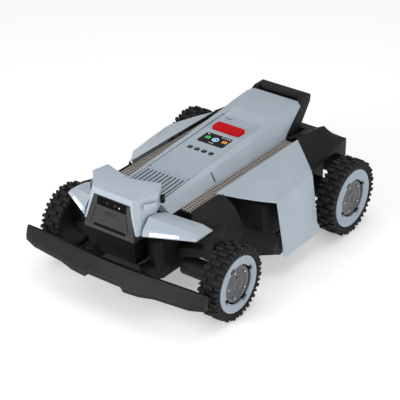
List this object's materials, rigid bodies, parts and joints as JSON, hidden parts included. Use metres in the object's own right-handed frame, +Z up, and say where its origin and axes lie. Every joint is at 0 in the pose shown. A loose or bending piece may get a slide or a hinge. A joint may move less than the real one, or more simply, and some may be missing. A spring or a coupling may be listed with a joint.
{
  "type": "robotic lawn mower",
  "caption": "Four-wheel-drive robotic lawn mower with steered front wheels, faceted covers, sprung bumper and a lifting twin-disc cutting deck.",
  "frame": {"origin": "on the ground, under the middle of the overall length and width", "axes": "+Z up, the front of the machine faces -Y, +X across the machine"},
  "size_m": [0.576, 0.82, 0.3422],
  "materials": {
    "cover_grey": "satin blue-grey painted plastic",
    "body_black": "fine-grained black plastic",
    "tyre_rubber": "black rubber",
    "hub_metal": "dark metallic grey",
    "rim_grey": "satin blue-grey",
    "red_button": "satin red",
    "black_gloss": "gloss black",
    "lamp_lens": "frosted light lens",
    "mesh_bronze": "woven bronze-grey mesh",
    "steel": "bright steel",
    "blade_steel": "ground steel",
    "battery_black": "matt dark casing",
    "circuit_green": "solder mask green",
    "copper": "plated contact"
  },
  "bodies": {
    "chassis": {"battery_pack": "battery_black", "bumper_mounts": "body_black", "camera_module": "black_gloss", "camera_window": "black_gloss", "carry_handle": "body_black", "charging_contacts": "copper", "chassis_tub": "body_black", "cheek_lamps": "lamp_lens", "control_board": "circuit_green", "control_panel": "cover_grey", "display_window": "black_gloss", "front_axle": "body_black", "hood": "cover_grey", "lift_bracket": "body_black", "lift_motor": "body_black", "louvre_grille": "cover_grey", "mesh_strips": "mesh_bronze", "nose_face": "body_black", "nose_shell": "cover_grey", "rear_body": "body_black", "rear_drive_motors": "body_black", "saddle_left": "cover_grey", "saddle_right": "cover_grey", "side_cameras": "black_gloss", "wheel_arch_left": "body_black", "wheel_arch_right": "body_black", "wing_left": "cover_grey", "wing_right": "cover_grey"},
    "bumper": {"bumper": "body_black"},
    "stop_button": {"stop_button": "red_button"},
    "key_1": {"key_1": "black_gloss"},
    "key_2": {"key_2": "black_gloss"},
    "key_3": {"key_3": "black_gloss"},
    "key_4": {"key_4": "black_gloss"},
    "knuckle_left": {"steering_knuckle_left": "body_black"},
    "wheel_front_left": {"tyre_front_left": "tyre_rubber", "rim_front_left": "rim_grey", "hub_front_left": "hub_metal"},
    "wheel_rear_left": {"tyre_rear_left": "tyre_rubber", "rim_rear_left": "rim_grey", "hub_rear_left": "hub_metal"},
    "disc_left": {"cutting_disc_left": "blade_steel"},
    "blade_left_1": {"blade_left_1": "blade_steel"},
    "blade_left_2": {"blade_left_2": "blade_steel"},
    "blade_left_3": {"blade_left_3": "blade_steel"},
    "knuckle_right": {"steering_knuckle_right": "body_black"},
    "wheel_front_right": {"tyre_front_right": "tyre_rubber", "rim_front_right": "rim_grey", "hub_front_right": "hub_metal"},
    "wheel_rear_right": {"tyre_rear_right": "tyre_rubber", "rim_rear_right": "rim_grey", "hub_rear_right": "hub_metal"},
    "disc_right": {"cutting_disc_right": "blade_steel"},
    "blade_right_1": {"blade_right_1": "blade_steel"},
    "blade_right_2": {"blade_right_2": "blade_steel"},
    "blade_right_3": {"blade_right_3": "blade_steel"},
    "deck": {"cutting_deck": "body_black", "cutting_motors": "body_black", "guide_posts": "steel"},
    "lift_screw": {"lift_screw": "steel"}
  },
  "joints": [
    {"name": "bumper_push", "type": "slide", "parent": "chassis", "child": "bumper", "axis": [0, 1, 0], "range_m": [0, 0.006], "stiffness_N_per_m": 1500, "springref_m": -0.002},
    {"name": "stop_press", "type": "slide", "parent": "chassis", "child": "stop_button", "axis": [0, 0.061, -0.9981], "range_m": [0, 0.004], "stiffness_N_per_m": 900, "springref_m": -0.002},
    {"name": "key_1_press", "type": "slide", "parent": "chassis", "child": "key_1", "axis": [0, 0.061, -0.9981], "range_m": [0, 0.001], "stiffness_N_per_m": 800, "springref_m": -0.001},
    {"name": "key_2_press", "type": "slide", "parent": "chassis", "child": "key_2", "axis": [0, 0.061, -0.9981], "range_m": [0, 0.001], "stiffness_N_per_m": 800, "springref_m": -0.001},
    {"name": "key_3_press", "type": "slide", "parent": "chassis", "child": "key_3", "axis": [0, 0.061, -0.9981], "range_m": [0, 0.001], "stiffness_N_per_m": 800, "springref_m": -0.001},
    {"name": "key_4_press", "type": "slide", "parent": "chassis", "child": "key_4", "axis": [0, 0.061, -0.9981], "range_m": [0, 0.001], "stiffness_N_per_m": 800, "springref_m": -0.001},
    {"name": "steer_left", "type": "hinge", "parent": "chassis", "child": "knuckle_left", "pos_m": [0.207, -0.227, 0.1], "axis": [0, 0, 1], "range_deg": [-18, 18]},
    {"name": "wheel_front_left_spin", "type": "hinge", "parent": "knuckle_left", "child": "wheel_front_left", "pos_m": [0.256, -0.227, 0.1], "axis": [1, 0, 0], "continuous": true},
    {"name": "wheel_rear_left_spin", "type": "hinge", "parent": "chassis", "child": "wheel_rear_left", "pos_m": [0.256, 0.303, 0.107], "axis": [1, 0, 0], "continuous": true},
    {"name": "steer_right", "type": "hinge", "parent": "chassis", "child": "knuckle_right", "pos_m": [-0.207, -0.227, 0.1], "axis": [0, 0, 1], "range_deg": [-18, 18]},
    {"name": "wheel_front_right_spin", "type": "hinge", "parent": "knuckle_right", "child": "wheel_front_right", "pos_m": [-0.256, -0.227, 0.1], "axis": [1, 0, 0], "continuous": true},
    {"name": "wheel_rear_right_spin", "type": "hinge", "parent": "chassis", "child": "wheel_rear_right", "pos_m": [-0.256, 0.303, 0.107], "axis": [1, 0, 0], "continuous": true},
    {"name": "deck_lower", "type": "slide", "parent": "chassis", "child": "deck", "axis": [0, 0, -1], "range_m": [0, 0.04]},
    {"name": "lift_screw_turn", "type": "hinge", "parent": "chassis", "child": "lift_screw", "pos_m": [0, 0.063, 0.12], "axis": [0, 0, 1], "range_deg": [0, 1805]},
    {"name": "disc_left_spin", "type": "hinge", "parent": "deck", "child": "disc_left", "pos_m": [0.106, 0.063, 0.063], "axis": [0, 0, 1], "continuous": true},
    {"name": "blade_left_1_swing", "type": "hinge", "parent": "disc_left", "child": "blade_left_1", "pos_m": [0.106, 0.137, 0.0603], "axis": [0, 0, 1], "continuous": true},
    {"name": "blade_left_2_swing", "type": "hinge", "parent": "disc_left", "child": "blade_left_2", "pos_m": [0.04191, 0.026, 0.0603], "axis": [0, 0, 1], "continuous": true},
    {"name": "blade_left_3_swing", "type": "hinge", "parent": "disc_left", "child": "blade_left_3", "pos_m": [0.17009, 0.026, 0.0603], "axis": [0, 0, 1], "continuous": true},
    {"name": "disc_right_spin", "type": "hinge", "parent": "deck", "child": "disc_right", "pos_m": [-0.106, 0.063, 0.063], "axis": [0, 0, 1], "continuous": true},
    {"name": "blade_right_1_swing", "type": "hinge", "parent": "disc_right", "child": "blade_right_1", "pos_m": [-0.106, 0.137, 0.0603], "axis": [0, 0, 1], "continuous": true},
    {"name": "blade_right_2_swing", "type": "hinge", "parent": "disc_right", "child": "blade_right_2", "pos_m": [-0.17009, 0.026, 0.0603], "axis": [0, 0, 1], "continuous": true},
    {"name": "blade_right_3_swing", "type": "hinge", "parent": "disc_right", "child": "blade_right_3", "pos_m": [-0.04191, 0.026, 0.0603], "axis": [0, 0, 1], "continuous": true}
  ],
  "couplings": [
    {"joint": "lift_screw_turn", "follows": "deck_lower", "rad_per_m": 785.4}
  ]
}
